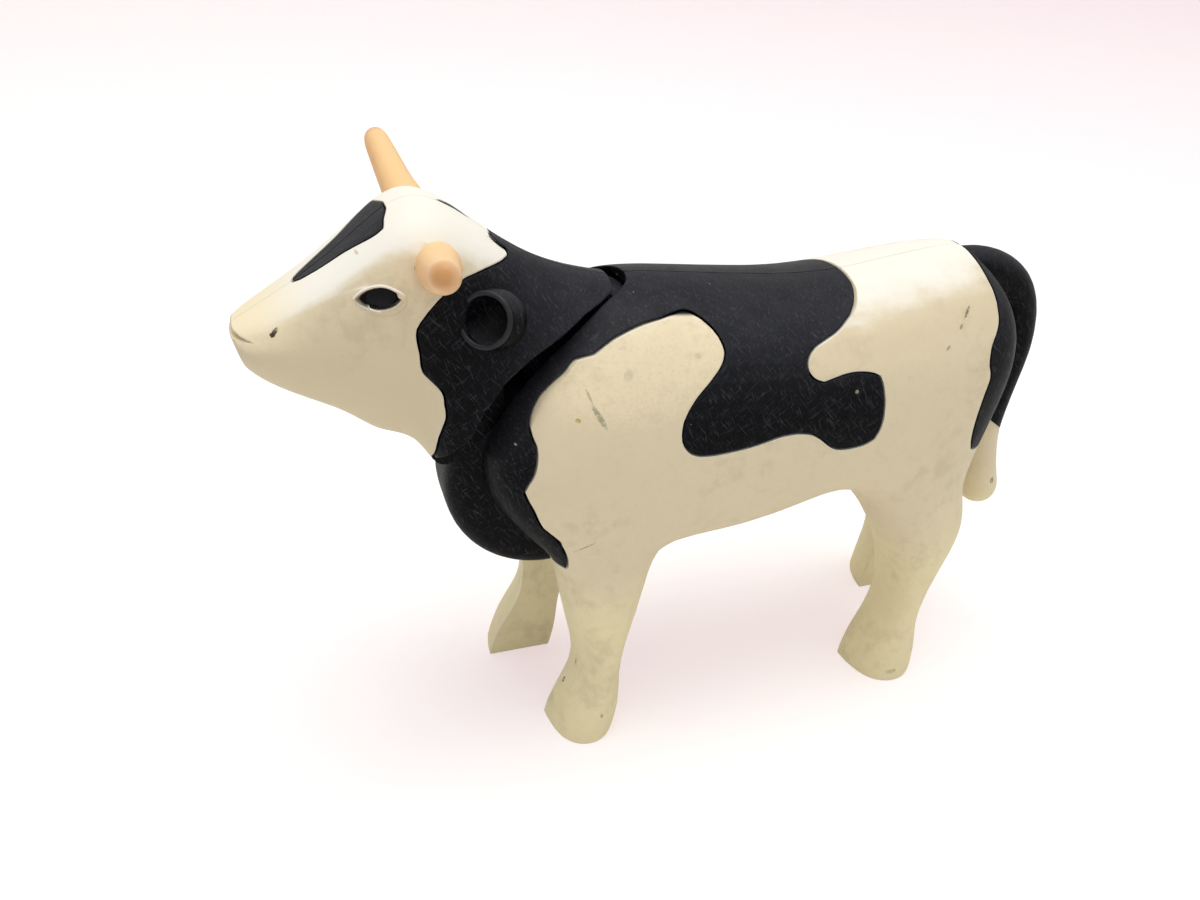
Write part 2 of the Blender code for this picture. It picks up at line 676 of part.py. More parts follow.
def tail_line(share):
    """The tail's centre line, each point with its share of the tail's diameter."""
    line = [(TRUNK_LENGTH * x, 0, BACK_HEIGHT * z, radius + share)
            for x, z, radius in TAIL_LINE_SHARES]
    return smooth_line(line, LINE_STEPS, False)


def horn_line(share):
    root = head_place(HORN_PLACE_SHARES)
    line = [(*(root + HORN_LENGTH * Vector((back, out, up))), radius + share)
            for back, out, up, radius in HORN_LINE_SHARES]
    return smooth_line(line, LINE_STEPS, False)


def eye_frame():
    """On the left cheek, with its Z axis pointing out of the eye."""
    return (Matrix.Translation(head_place(EYE_PLACE_SHARES))
            @ Matrix.Rotation(radians(EYE_TURN_ANGLE), 4, "Z")
            @ Matrix.Rotation(pi / 2 - radians(EYE_TILT_ANGLE), 4, "X"))


def seam_patch_prism(name, shares, end_shares, gap, collection):
    """Cutter for a patch across the head's seam, down to the patch's depth."""
    fore, aft = head_outline(end_shares)
    span = aft - fore
    half = [(span.length * along, span.length * away) for along, away in shares]
    mirrored = [(along, -away) for along, away in reversed(half[1:-1])]
    loop = inset_loop(smooth_line(half + mirrored, LINE_STEPS, True), gap)
    depth = 2 * OVERRUN
    middle = (fore + aft) / 2
    frame = (Matrix.Translation((middle.x, 0, middle.y))
             @ Matrix.Rotation(-atan2(span.y, span.x), 4, "Y")
             @ Matrix.Translation((0, 0, depth / 2 - PATCH_DEPTH + gap)))
    return prism(name, loop, depth, frame, collection)


def build_trunk(parts, cutters):
    """Both halves of the trunk with their black areas let in."""
    halves = []
    drum_space = prism("drum_space_cutter", drum_space_outline(), LEG_GAP, side_frame(0),
                       cutters)
    tongue_space = tongue_form("tongue_space_cutter", RUNNING_GAP, cutters)
    slot_middle = pivot().y + (DRUM_RADIUS + BACK_HEIGHT) / 2
    slot = prism("slot_cutter", slot_outline(), BACK_HEIGHT,
                 Matrix.Translation((0, 0, slot_middle)), cutters)
    hind_space = prism("hind_space_cutter", space_outline(HIND_SPACE_SHARES), LEG_GAP,
                       side_frame(0), cutters)
    pin_bore = pivot_bar("pin_bore_cutter", PIN_DIAMETER + 2 * PIN_CLEARANCE,
                         LEG_GAP + 2 * PIN_ENGAGEMENT + 2 * SEAT_GAP, PIN_CHAMFER, 1,
                         PIN_STEPS, cutters)
    tail_hole = tube("tail_hole_cutter", tail_line(2 * SEAT_GAP / TAIL_DIAMETER),
                     TAIL_DIAMETER, False, Matrix.Translation((-SEAT_GAP, 0, 0)), cutters)
    for suffix, side, front_step, hind_step in (
            ("left", -1, 0, 0), ("right", 1, RIGHT_FRONT_STEP, RIGHT_HIND_STEP)):
        body = thinned(rounded_form(trunk_cage(side, front_step, hind_step),
                                    "body_" + suffix, CAGE_LEVELS, parts))
        keep_half(body, side)
        cut_flat(body, (0, 0, 0), (0, 0, 1))
        for cutter in (drum_space, tongue_space, slot, hind_space, pin_bore, tail_hole):
            combine(body, cutter, "DIFFERENCE")
        core = trunk_core("core_" + suffix, side, front_step, hind_step, INLAY_DEPTH,
                          cutters)
        deep_core = trunk_core("deep_core_" + suffix, side, front_step, hind_step,
                               INLAY_DEPTH + SEAT_GAP, cutters)
        for name, shares in (("saddle_", SADDLE_SHARES), ("rump_patch_", RUMP_SHARES)):
            loop = smooth_line(trunk_outline(shares), LINE_STEPS, True)
            depth = TRUNK_WIDTH + OVERRUN
            area = prism(name + suffix + "_area", inset_loop(loop, INLAY_GAP), depth,
                         side_frame(0), cutters)
            pocket = prism(name + suffix + "_pocket", loop, depth, side_frame(0), cutters)
            patch = copy_of(body, name + suffix)
            combine(patch, area, "INTERSECT")
            combine(patch, core, "DIFFERENCE")
            combine(pocket, deep_core, "DIFFERENCE")
            combine(body, pocket, "DIFFERENCE")
            halves.append(patch)
        halves.append(body)
    return halves


def build_head(parts, cutters):
    """Left face and neck with their details, then the right side as mirrored copies."""
    head = thinned(rounded_form(head_cage(), "head_form", CAGE_LEVELS, cutters))
    area_loop = smooth_line(head_outline(NECK_AREA_SHARES), LINE_STEPS, True)
    depth = HEAD_WIDTH + 2 * OVERRUN
    neck_area = prism("neck_area", inset_loop(area_loop, INLAY_GAP), depth,
                      side_frame(0), cutters)
    face_cut = prism("face_cut", area_loop, depth, side_frame(0), cutters)
    rim_cut = prism("neck_rim_cut", head_outline(NECK_RIM_SHARES), depth, side_frame(0),
                    cutters)

    throat = prism("throat_form", head_outline(THROAT_SHARES), THROAT_WIDTH, side_frame(0),
                   cutters)
    combine(rim_cut, throat, "DIFFERENCE")

    neck = copy_of(head, "neck_left")
    parts.objects.link(neck)
    cutters.objects.unlink(neck)
    combine(neck, neck_area, "INTERSECT")
    combine(neck, rim_cut, "DIFFERENCE")
    drum = pivot_bar("drum_form", 2 * DRUM_RADIUS, DRUM_WIDTH, DRUM_EDGE_RADIUS,
                     DRUM_EDGE_STEPS, DRUM_STEPS, cutters)
    tongue = tongue_form("tongue_form", 0, cutters)
    combine(drum, tongue, "UNION")
    combine(neck, drum, "UNION")
    keep_half(neck, -1)
    pin_bore = pivot_bar("drum_bore_cutter", PIN_DIAMETER + 2 * PIN_CLEARANCE,
                         DRUM_WIDTH + OVERRUN, PIN_CHAMFER, 1, PIN_STEPS, cutters)
    combine(neck, pin_bore, "DIFFERENCE")
    ear_place = head_place(EAR_PLACE_SHARES)
    ear = ball("ear_form", EAR_DIAMETER, ear_place, cutters)
    hollow_place = ear_place + EAR_HOLLOW_SHIFT * Vector(EAR_FACING_SHARES)
    hollow = ball("ear_hollow_cutter", EAR_HOLLOW_DIAMETER, hollow_place, cutters)
    combine(neck, ear, "UNION")
    combine(neck, hollow, "DIFFERENCE")

    face = copy_of(head, "face_left")
    parts.objects.link(face)
    cutters.objects.unlink(face)
    combine(face, face_cut, "DIFFERENCE")
    keep_half(face, -1)
    horn = tube("horn_left", horn_line(0), HORN_DIAMETER, False, Matrix.Identity(4), parts)
    horn_hole = tube("horn_hole_cutter", horn_line(2 * PIN_CLEARANCE / HORN_DIAMETER),
                     HORN_DIAMETER, False, Matrix.Translation((0, PIN_CLEARANCE, 0)), cutters)
    combine(face, horn_hole, "DIFFERENCE")
    combine(neck, horn_hole, "DIFFERENCE")

    brow_patch = copy_of(face, "forehead_patch_left")
    combine(brow_patch, seam_patch_prism("brow_area", BROW_PATCH_SHARES,
                                         BROW_PATCH_END_SHARES, INLAY_GAP, cutters),
            "INTERSECT")
    combine(face, seam_patch_prism("brow_pocket", BROW_PATCH_SHARES, BROW_PATCH_END_SHARES,
                                   0, cutters), "DIFFERENCE")

    lens = smooth_line([(EYE_LENGTH * x, EYE_HEIGHT * y) for x, y in EYE_SHARES],
                       LINE_STEPS, True)
    eyelid = tube("eyelid_form", [(*point, 0, 1) for point in lens], EYELID_DIAMETER, True,
                  eye_frame(), cutters)
    eye_pocket = prism("eye_pocket_cutter", lens, 2 * EYE_DEPTH, eye_frame(), cutters)
    combine(face, eyelid, "UNION")
    combine(face, eye_pocket, "DIFFERENCE")
    eye = ball("eye_left", 2 * EYE_DOME_RADIUS, (0, 0, -EYE_DOME_RADIUS - EYE_RECESS), parts)
    eye.data.transform(eye_frame())
    combine(eye, prism("eye_area", inset_loop(lens, SEAT_GAP), 2 * (EYE_DEPTH - SEAT_GAP),
                       eye_frame(), cutters), "INTERSECT")

    mouth_loop = [(-MOUTH_LENGTH, MOUTH_OPENING), (-MOUTH_LENGTH, -MOUTH_OPENING), (0, 0)]
    corner = head_point(*MOUTH_PLACE_SHARES)
    mouth_frame = (Matrix.Translation((corner.x, 0, corner.y))
                   @ Matrix.Rotation(radians(MOUTH_ANGLE), 4, "Y") @ side_frame(0))
    mouth = prism("mouth_cutter", mouth_loop, HEAD_WIDTH, mouth_frame, cutters)
    combine(face, mouth, "DIFFERENCE")

    left = {"neck": neck, "face": face, "horn": horn, "forehead_patch": brow_patch,
            "eye": eye}
    right = {name: mirrored_copy(obj, name + "_right") for name, obj in left.items()}
    poll_patch = copy_of(right["face"], "poll_patch")
    combine(poll_patch, seam_patch_prism("poll_area", POLL_PATCH_SHARES,
                                         POLL_PATCH_END_SHARES, INLAY_GAP, cutters),
            "INTERSECT")
    combine(right["face"], seam_patch_prism("poll_pocket", POLL_PATCH_SHARES,
                                            POLL_PATCH_END_SHARES, 0, cutters),
            "DIFFERENCE")
    return [*left.values(), *right.values(), poll_patch]


def build_tail(parts, cutters):
    """One round bar, parted on a slant into the black tail and the cream tuft."""
    tail = tube("tail", tail_line(0), TAIL_DIAMETER, False, Matrix.Identity(4), parts)
    tuft = copy_of(tail, "tail_tuft")
    along, up = TUFT_JOINT_SHARES
    joint = Vector((TRUNK_LENGTH * along, 0, BACK_HEIGHT * up))
    turn = Matrix.Rotation(radians(TUFT_JOINT_ANGLE), 3, "Y")
    slant = turn @ Vector((0, 0, 1))
    cut_flat(tail, joint + slant * SEAT_GAP / 2, slant)
    cut_flat(tuft, joint - slant * SEAT_GAP / 2, -slant)
    return tail, tuft


def finish(obj, colour, roughness, origin):
    """Shades a piece, gives it its own plastic and puts its origin in place."""
    for polygon in obj.data.polygons:
        polygon.use_smooth = True
    obj.data.set_sharp_from_angle(angle=radians(SMOOTH_ANGLE))
    plastic = bpy.data.materials.new(obj.name + "_plastic")
    plastic.use_nodes = True
    shader = plastic.node_tree.nodes["Principled BSDF"]
    shader.inputs["Base Color"].default_value = (*colour, 1)
    shader.inputs["Roughness"].default_value = roughness
    plastic.diffuse_color = (*colour, 1)
    obj.data.materials.clear()
    obj.data.materials.append(plastic)
    obj.data.transform(Matrix.Translation(-origin))
    obj.location = origin + Vector((CENTRING_SHIFT, 0, 0))


def main():
    clear_scene()
    parts = new_collection("toy_ox")
    cutters = new_collection("cutters")
    tail, tuft = build_tail(parts, cutters)
    trunk = build_trunk(parts, cutters)
    head = build_head(parts, cutters)
    pin = pivot_bar("pivot_pin", PIN_DIAMETER, LEG_GAP + 2 * PIN_ENGAGEMENT, PIN_CHAMFER, 1,
                    PIN_STEPS, parts)
    hinge = Vector((pivot().x, 0, pivot().y))
    for obj in (*trunk, tail, tuft, pin):
        finish(obj, *LOOKS[next(key for key in LOOKS if obj.name.startswith(key))],
               Vector((0, 0, 0)))
    for obj in head:
        finish(obj, *LOOKS[next(key for key in LOOKS if obj.name.startswith(key))], hinge)
    for cutter in cutters.objects:
        cutter.hide_render = True
        cutter.display_type = "WIRE"


main()
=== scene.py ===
"""Looks of the toy ox: moulded cream and black plastic, tan horns and glossy eyes."""
from math import cos, pi, radians, sin

import bmesh
import bpy
from bpy.props import FloatProperty, FloatVectorProperty, IntProperty, PointerProperty
from mathutils import Matrix, Vector
from mathutils.bvhtree import BVHTree
from mathutils.geometry import convex_hull_2d


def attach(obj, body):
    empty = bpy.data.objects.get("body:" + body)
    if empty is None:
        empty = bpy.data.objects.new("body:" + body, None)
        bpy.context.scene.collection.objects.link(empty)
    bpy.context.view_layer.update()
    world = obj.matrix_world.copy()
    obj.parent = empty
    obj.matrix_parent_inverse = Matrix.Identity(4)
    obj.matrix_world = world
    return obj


bl_info = {
    "name": "Toy ox looks",
    "version": (1, 0, 0),
    "blender": (4, 5, 0),
    "location": "View3D > Sidebar > Toy ox",
    "description": "Dresses the packed toy ox in plastic and sets up its studio",
    "category": "Object",
}

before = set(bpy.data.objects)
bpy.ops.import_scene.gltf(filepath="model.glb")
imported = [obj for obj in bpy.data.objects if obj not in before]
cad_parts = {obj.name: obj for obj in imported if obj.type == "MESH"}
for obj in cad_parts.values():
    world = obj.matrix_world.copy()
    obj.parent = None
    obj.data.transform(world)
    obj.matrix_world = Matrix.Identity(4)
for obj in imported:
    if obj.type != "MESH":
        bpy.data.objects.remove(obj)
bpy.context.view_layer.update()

TRUNK_NODES = ("body_left", "body_right", "tail_tuft")
FACE_NODES = ("face_left", "face_right")
BLACK_NODES = ("saddle_left", "saddle_right", "rump_patch_left", "rump_patch_right",
               "tail", "neck_left", "neck_right", "forehead_patch_left",
               "forehead_patch_right", "poll_patch")
HORN_NODES = ("horn_left", "horn_right")
EYE_NODES = ("eye_left", "eye_right")

# The left ear: its middle, the way it faces, and the circle of its lip
EAR_PLACE = (-0.0300, -0.0103, 0.0705)
EAR_FACING = (-0.57, -0.73, 0.37)
EAR_RIM_HEIGHT = 0.0023
EAR_RIM_RADIUS = 0.00335
EAR_RIM_WIDTH = 0.0007
EAR_RIM_THICKNESS = 0.00034
EAR_RIM_STEPS = 64

# The lid round an eye: its distance from the eye's outline, and its bead
EYE_RIM_GAP = 0.00032
EYE_RIM_WIDTH = 0.00075
EYE_RIM_THICKNESS = 0.00017
EYE_RIM_STEPS = 56
BEAD_SIDES = 12

# Corners of the tail and of its tuft nearer than this to the other piece face it
TUFT_REACH = 0.0006

# The middle of a horn's flat tip, on the right horn
HORN_TIP = (-0.0392, 0.0292, 0.0845)

# Fine hairs on the black: turn about Y in degrees, and hairs to the metre
HAIRS = ((50, 340), (-35, 460), (72, 400))

# The wall's foot in the photograph: the way across it, and how far behind it lies
WALL_WAY = (0.2302, 0.9731, 0)
WALL_FOOT = 0.1550

# Marks of play: middle, half lengths, turn about Y in degrees, colour's name, strength
TRUNK_MARKS = (
    ((-0.0174, -0.0162, 0.0580), (0.0004, 0.0020, 0.0019), -29, "smear", 0.85),
    ((-0.0185, -0.0145, 0.0606), (0.0002, 0.0020, 0.0010), -20, "smear", 0.60),
    ((-0.0202, -0.0158, 0.0577), (0.0004, 0.0020, 0.0003), 10, "stain", 0.90),
    ((-0.0131, -0.0146, 0.0628), (0.0006, 0.0020, 0.0008), 30, "smear", 0.28),
    ((-0.0032, -0.0138, 0.0641), (0.0005, 0.0020, 0.0004), 0, "smear", 0.25),
    ((-0.0097, -0.0168, 0.0573), (0.0012, 0.0020, 0.0009), 0, "smear", 0.10),
    ((-0.0189, -0.0162, 0.0375), (0.0016, 0.0020, 0.0001), -31, "nick", 0.60),
    ((-0.0196, -0.0092, 0.0073), (0.0020, 0.0003, 0.0005), 0, "nick", 0.90),
    ((-0.0156, -0.0168, 0.0054), (0.0003, 0.0020, 0.0004), 0, "nick", 0.45),
    ((-0.0180, -0.0103, 0.0116), (0.0020, 0.0002, 0.0006), 20, "nick", 0.45),
    ((0.0357, -0.0169, 0.0022), (0.0010, 0.0020, 0.0005), -20, "smear", 0.45),
    ((0.0588, -0.0030, 0.0282), (0.0004, 0.0020, 0.0006), 0, "nick", 0.70),
    ((0.0386, -0.0127, 0.0657), (0.0002, 0.0020, 0.0011), 47, "nick", 0.70),
    ((0.0371, -0.0139, 0.0642), (0.0002, 0.0020, 0.0005), 47, "nick", 0.50),
    ((0.0345, -0.0148, 0.0618), (0.0002, 0.0020, 0.0005), 47, "nick", 0.50),
)
FACE_MARKS = (
    ((-0.0563, -0.0065, 0.0699), (0.00026, 0.0020, 0.0008), 37, "nick", 0.95),
    ((-0.0566, -0.0065, 0.0696), (0.00030, 0.0020, 0.0003), 37, "nick", 0.95),
    ((-0.0393, -0.0104, 0.0783), (0.00012, 0.0020, 0.0003), 20, "nick", 0.55),
    ((-0.0456, -0.0055, 0.0790), (0.0003, 0.0010, 0.0002), 0, "stain", 0.50),
)
BLACK_MARKS = (
    ((0.0199, -0.0169, 0.0574), (0.00030, 0.0020, 0.00030), 0, "cream", 0.45),
    ((-0.0279, -0.0133, 0.0538), (0.00016, 0.0020, 0.00016), 0, "cream", 0.40),
)


class Value:
    """A node's output. Sums with it add Math nodes to the same node tree."""

    def __init__(self, tree, socket=None):
        self.tree = tree
        self.socket = socket

    def node(self, kind, settings=None, sockets=None, output=0):
        """Adds a node: first its settings, then its sockets' values or links."""
        made = self.tree.nodes.new(kind)
        for name, setting in (settings or {}).items():
            if name == "stops":
                fill_ramp(made.color_ramp, setting)
            else:
                setattr(made, name, setting)
        for name, value in (sockets or {}).items():
            if isinstance(value, Value):
                self.tree.links.new(value.socket, made.inputs[name])
            else:
                made.inputs[name].default_value = value
        return Value(self.tree, made.outputs[output])

    def math(self, operation, first, second):
        return self.node("ShaderNodeMath", {"operation": operation},
                         {0: first, 1: second})

    def __add__(self, other):
        return self.math("ADD", self, other)

    def __sub__(self, other):
        return self.math("SUBTRACT", self, other)

    def __rsub__(self, other):
        return self.math("SUBTRACT", other, self)

    def __mul__(self, other):
        return self.math("MULTIPLY", self, other)

    __radd__ = __add__
    __rmul__ = __mul__

    def step(self, start, end):
        """0 below start and 1 beyond end, with a smooth change between them."""
        low, high, first, last = (start, end, 0.0, 1.0) if start < end else (
            end, start, 1.0, 0.0)
        return self.node("ShaderNodeMapRange", {"interpolation_type": "SMOOTHSTEP"},
                         {"Value": self, "From Min": low, "From Max": high,
                          "To Min": first, "To Max": last})


def fill_ramp(ramp, stops):
    """Puts a colour ramp's stops where the list says."""
    while len(ramp.elements) < len(stops):
        ramp.elements.new(1.0)
    for element, (position, colour) in zip(ramp.elements, stops):
        element.position = position
        element.color = colour


def new_plastic(name, roughness, specular):
    """A material with its shader, and where paint starts on it."""
    plastic = bpy.data.materials.new(name)
    plastic.use_nodes = True
    tree = plastic.node_tree
    shader = tree.nodes["Principled BSDF"]
    shader.inputs["Roughness"].default_value = roughness
    shader.inputs["Specular IOR Level"].default_value = specular
    paint = Value(tree)
    place = paint.node("ShaderNodeTexCoord", output="Object")
    return plastic, shader, paint, place


def feed(shader, **values):
    """Links values to the shader's sockets, named with _ for a blank."""
    for name, value in values.items():
        value.tree.links.new(value.socket, shader.inputs[name.replace("_", " ")])


def noise(place, scale, detail=3.0, roughness=0.5):
    """Cloudy noise from 0 to 1, with about scale clouds to the metre."""
    return place.node("ShaderNodeTexNoise", None,
                      {"Vector": place, "Scale": scale, "Detail": detail,
                       "Roughness": roughness})


def stretched(place, scale, turn=(0, 0, 0)):
    """The place on the piece, squeezed along some axes to draw out a pattern."""
    return place.node("ShaderNodeMapping", {"vector_type": "TEXTURE"},
                      {"Vector": place, "Scale": [1 / part for part in scale],
                       "Rotation": [radians(angle) for angle in turn]})


def mixed(paint, amount, first, second, blend="MIX"):
    """Second colour over the first one by an amount."""
    def colour(value):
        return value if isinstance(value, Value) else (*value[:3], 1)
    return paint.node("ShaderNodeMix", {"data_type": "RGBA", "blend_type": blend},
                      {0: amount, 6: colour(first), 7: colour(second)}, 2)


def bump(paint, height, distance, strength=1.0, normal=None):
    """A normal that follows small heights given in metres."""
    sockets = {"Height": height, "Distance": distance, "Strength": strength}
    if normal:
        sockets["Normal"] = normal
    return paint.node("ShaderNodeBump", None, sockets)


def along(paint, vector, axis):
    """A vector's share along an axis."""
    return paint.node("ShaderNodeSeparateXYZ", None, {0: vector}, axis)


def rounded(paint, radius):
    """The normal of edges rounded by a radius."""
    return paint.node("ShaderNodeBevel", {"samples": 6}, {"Radius": radius})


def sharp_edge(paint, edges):
    """1 on sharp edges, from how far their rounded normal turns away."""
    plain = paint.node("ShaderNodeNewGeometry", output="Normal")
    same = paint.node("ShaderNodeVectorMath", {"operation": "DOT_PRODUCT"},
                      {0: edges, 1: plain}, "Value")
    return same.step(0.99, 0.82)


def crease(paint, distance):
    """1 deep between pieces and 0 in the open."""
    open_sky = paint.node("ShaderNodeAmbientOcclusion", {"samples": 8},
                          {"Distance": distance}, "AO")
    return open_sky.step(0.75, 0.25)


def speckles(place, scale, size, share):
    """Small scattered specks, in about a share of the cells."""
    cells = {"Vector": place, "Scale": scale}
    near = place.node("ShaderNodeTexVoronoi", None, cells, "Distance")
    pick = place.node("ShaderNodeTexVoronoi", None, cells, "Color")
    chosen = place.node("ShaderNodeSeparateColor", None, {"Color": pick}, "Red")
    return near.step(size, 0.4 * size) * chosen.step(1 - share, 1 - 0.8 * share)


def mark(place, middle, halves, turn):
    """A single patch at a place on the piece, with a ragged edge: a smudge, or the
    painted highlight on the shoulder.
    """
    local = place.node("ShaderNodeMapping", {"vector_type": "TEXTURE"},
                       {"Vector": place, "Location": middle, "Scale": halves,
                        "Rotation": (0, radians(turn), 0)})
    away = place.node("ShaderNodeVectorMath", {"operation": "LENGTH"}, {0: local},
                      "Value")
    ragged = away + noise(place, 3200, 3, 0.6) * 0.9
    return ragged.step(1.60, 1.10) * (
        0.35 + noise(place, 2000, 2).step(0.30, 0.50) * 0.65)


def dress(names, plastic, surface):
    """Gives CAD pieces their plastic and their rounded surface."""
    for name in names:
        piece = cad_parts[name]
        piece.data.materials.clear()
        piece.data.materials.append(plastic)
        piece.modifiers.new("moulded_surface", "NODES").node_group = surface


def moulded_surface(looks, crisp_angle, seam=1.0, seat=0.0):
    """Geometry nodes that round a piece's moulded faces and keep its edges crisp.

    seam is the share of the gap that stays open between a left and a right half, and
    seat is how far a horn's foot swells to sit tight in its hole.
    """
    group = bpy.data.node_groups.new("moulded_surface", "GeometryNodeTree")
    for way in ("INPUT", "OUTPUT"):
        group.interface.new_socket("Geometry", in_out=way,
                                   socket_type="NodeSocketGeometry")
    shape = Value(group).node("NodeGroupInput")
    joined = shape.node("GeometryNodeMergeByDistance", None,
                        {"Geometry": shape, "Distance": looks.join_distance})
    place = shape.node("GeometryNodeInputPosition")
    across = shape.node("ShaderNodeSeparateXYZ", None, {0: place}, "Y")
    out = shape.node("ShaderNodeMath", {"operation": "ABSOLUTE"}, {0: across})
    middle = shape.node("FunctionNodeCompare", {"operation": "LESS_THAN"},
                        {0: out, 1: looks.seam_reach})
    closed = shape.node("ShaderNodeVectorMath", {"operation": "MULTIPLY"},
                        {0: place, 1: (1, seam, 1)})
    met = shape.node("GeometryNodeSetPosition", None,
                     {"Geometry": joined, "Selection": middle, "Position": closed})
    normal = shape.node("GeometryNodeInputNormal")
    swell = shape.node("ShaderNodeVectorMath", {"operation": "SCALE"},
                       {0: normal, "Scale": out.step(0.0165, 0.0130) * seat})
    seated = shape.node("GeometryNodeSetPosition", None,
                        {"Geometry": met, "Offset": swell})
    turn = shape.node("GeometryNodeInputMeshEdgeAngle")
    crisp = shape.node("FunctionNodeCompare", {"operation": "GREATER_THAN"},
                       {0: turn, 1: crisp_angle})
    fine = shape.node("GeometryNodeSubdivisionSurface", None,
                      {"Mesh": seated, "Level": looks.fineness, "Edge Crease": crisp})
    soft = shape.node("FunctionNodeCompare", {"operation": "LESS_THAN"},
                      {0: turn, 1: crisp_angle})
    shaded = shape.node("GeometryNodeSetShadeSmooth", {"domain": "FACE"},
                        {"Geometry": fine})
    edged = shape.node("GeometryNodeSetShadeSmooth", {"domain": "EDGE"},
                       {"Geometry": shaded, "Shade Smooth": soft})
    end = group.nodes.new("NodeGroupOutput")
    group.links.new(edged.socket, end.inputs[0])
    return group


class PlasticLooks(bpy.types.PropertyGroup):
    """Colours, wear, painted light and painted shade of the moulded pieces."""
    cream: FloatVectorProperty(
        name="Cream", description="Yellowed cream plastic of the sides and legs",
        subtype="COLOR", default=(0.760, 0.655, 0.460))
    cream_legs: FloatVectorProperty(
        name="Cream of the legs", description="Paler, yellower cream towards the feet",
        subtype="COLOR", default=(0.850, 0.750, 0.470))
    # Painted light: cream painted near white on lit tops, as highlights along edges and
    # in the gaps
    painted_light_cream: FloatVectorProperty(
        name="Painted light cream", description="Cream painted where light falls: lit tops, edge highlights, gaps",
        subtype="COLOR", default=(0.930, 0.905, 0.820))
    # Painted highlight on the nose and the upper shoulder
    cream_highlight: FloatVectorProperty(
        name="Highlight cream", description="Painted highlight on the nose and the shoulder",
        subtype="COLOR", default=(0.930, 0.810, 0.560))
    # Painted shade on the face's undersides and the rump's side; also the darker flecks
    # of the grain
    shade_and_grain_cream: FloatVectorProperty(
        name="Shade and grain cream", description="Painted shade on the jaw, throat and rump side, and the grain's flecks",
        subtype="COLOR", default=(0.660, 0.560, 0.380))
    black: FloatVectorProperty(
        name="Black", description="Bluish black plastic", subtype="COLOR",
        default=(0.0022, 0.0026, 0.0034))
    scuffed: FloatVectorProperty(
        name="Scuffed black", description="Black plastic where it is rubbed",
        subtype="COLOR", default=(0.030, 0.031, 0.036))
    # Dust and painted sheen: the black that faces up is painted lighter, partly as its
    # sheen
    dust_and_sheen: FloatVectorProperty(
        name="Dust and sheen black", description="Black plastic that faces up: dust and a painted sheen",
        subtype="COLOR", default=(0.036, 0.037, 0.045))
    horn: FloatVectorProperty(
        name="Horn", description="Tan plastic of the horns", subtype="COLOR",
        default=(0.860, 0.520, 0.240))
    horn_tip: FloatVectorProperty(
        name="Horn tip", description="Paler plastic of the horns' rubbed tips",
        subtype="COLOR", default=(0.850, 0.560, 0.340))
    horn_worn: FloatVectorProperty(
        name="Worn horn", description="Darker spot in the middle of the tips",
        subtype="COLOR", default=(0.560, 0.270, 0.090))
    # Painted light on the horns' sides that face up
    horn_painted_light: FloatVectorProperty(
        name="Lit top of the horn", description="Painted light on the horn's sides that face up",
        subtype="COLOR", default=(0.960, 0.660, 0.330))
    grime: FloatVectorProperty(
        name="Grime", description="Dirt from handling", subtype="COLOR",
        default=(0.330, 0.275, 0.175))
    smear: FloatVectorProperty(
        name="Smear", description="Greenish grey rubbed off on the cream",
        subtype="COLOR", default=(0.330, 0.305, 0.195))
    nick: FloatVectorProperty(
        name="Nick", description="Dark dirt in the small nicks", subtype="COLOR",
        default=(0.045, 0.030, 0.018))
    stain: FloatVectorProperty(
        name="Stain", description="A spot of yellow paint", subtype="COLOR",
        default=(0.420, 0.340, 0.050))
    eye: FloatVectorProperty(
        name="Eye", description="Glossy black of the eyes", subtype="COLOR",
        default=(0.006, 0.006, 0.007))
    wear: FloatProperty(
        name="Wear", description="How much the plastic has been played with",
        subtype="FACTOR", min=0, max=1, default=0.7)
    cream_seam: FloatProperty(
        name="Cream seam", description="Share of the gap left between cream halves",
        subtype="FACTOR", min=0, max=1, default=0.06)
    black_seam: FloatProperty(
        name="Black seam", description="Share of the gap left between black halves",
        subtype="FACTOR", min=0, max=1, default=0.5)
    horn_seat: FloatProperty(
        name="Horn seat", description="How far a horn's foot swells into its hole",
        unit="LENGTH", default=0.00026)
    edge_radius: FloatProperty(
        name="Edge radius", description="Rounding of the moulded edges",
        unit="LENGTH", default=0.0003)
    join_distance: FloatProperty(
        name="Join distance", description="Corners nearer than this become one",
        unit="LENGTH", default=0.00014)
    seam_reach: FloatProperty(
        name="Seam reach", description="Corners this near the middle lie on the seam",
        unit="LENGTH", default=0.00025)
    crisp_angle: FloatProperty(
        name="Crisp angle", description="Edges that turn more than this stay crisp",
        subtype="ANGLE", default=radians(31))
    tip_angle: FloatProperty(
        name="Horn's crisp angle", description="The same for the horns' round tips",
        subtype="ANGLE", default=radians(50))
    fineness: IntProperty(
        name="Fineness", description="How often each face is split to round it",
        min=0, max=3, default=2)


class StudioLooks(bpy.types.PropertyGroup):
    """Floor, wall and lamps."""
    floor_size: FloatProperty(name="Floor", description="Length of the floor",
                              unit="LENGTH", default=3.0)
    wall_distance: FloatProperty(name="Wall", description="Wall behind the figure",
                                 unit="LENGTH", default=0.9)
    shown: FloatVectorProperty(
        name="Shaded paper", description="How much the paper shows of the shadows",
        subtype="COLOR", default=(0.560, 0.680, 0.640))
    glow: FloatVectorProperty(
        name="Paper glow", description="White that the shadows leave on the paper",
        subtype="COLOR", default=(0.560, 0.415, 0.455))
    far_glow: FloatVectorProperty(
        name="Far paper glow", description="The paper's white behind the figure",
        subtype="COLOR", default=(0.560, 0.365, 0.423))
    fill: FloatProperty(name="Fill", description="Light from all sides",
                        min=0, default=0.62)
    key_power: FloatProperty(name="Key light", description="Light from above",
                             unit="POWER", default=2.9)
    key_size: FloatProperty(name="Key size", description="Width of the light above",
                            unit="LENGTH", default=0.5)


